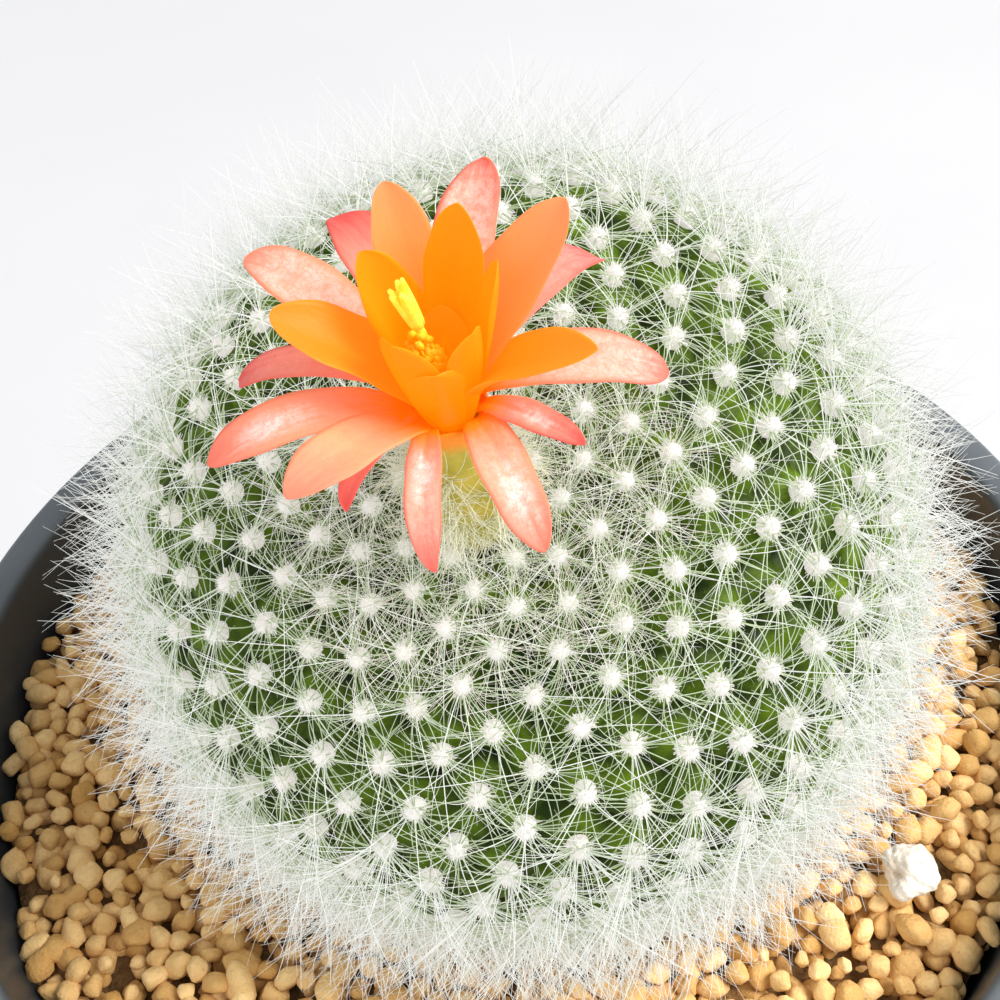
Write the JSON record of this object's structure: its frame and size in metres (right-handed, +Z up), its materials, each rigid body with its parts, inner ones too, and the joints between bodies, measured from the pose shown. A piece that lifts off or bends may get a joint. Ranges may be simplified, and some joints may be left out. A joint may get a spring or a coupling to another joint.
{
  "type": "potted round cactus",
  "caption": "Ball cactus densely clothed in fine white spines, with an open orange flower at its crown, in a round plastic pot topped with baked-clay granules.",
  "frame": {"origin": "centre of the pot's foot, on the surface that it stands on", "axes": "+Z up through the pot's mouth; -Y is the front, the side that the crown and the flower lean to"},
  "size_m": [0.075, 0.075, 0.106],
  "materials": {
    "pot_plastic": "satin injection-moulded plastic, slate grey",
    "clay_granules": "dry rough baked clay, tan",
    "white_mineral": "porous off-white mineral",
    "cactus_skin": "green waxy skin under glassy white spines and white wool",
    "tube_green": "smooth yellow-green with pale wool",
    "tepal_salmon": "soft satin petal, salmon pink",
    "tepal_orange": "soft satin petal, deep orange",
    "stamen_yellow": "matte pollen yellow",
    "stigma_yellow": "bright matte yellow"
  },
  "bodies": {
    "root": {"pot": "pot_plastic", "soil": "clay_granules", "perlite_crumb": "white_mineral", "cactus": "cactus_skin", "flower_tube": "tube_green", "flower_outer_tepals": "tepal_salmon", "flower_inner_tepals": "tepal_orange", "flower_stamens": "stamen_yellow", "flower_pistil": "stigma_yellow"}
  },
  "joints": []
}
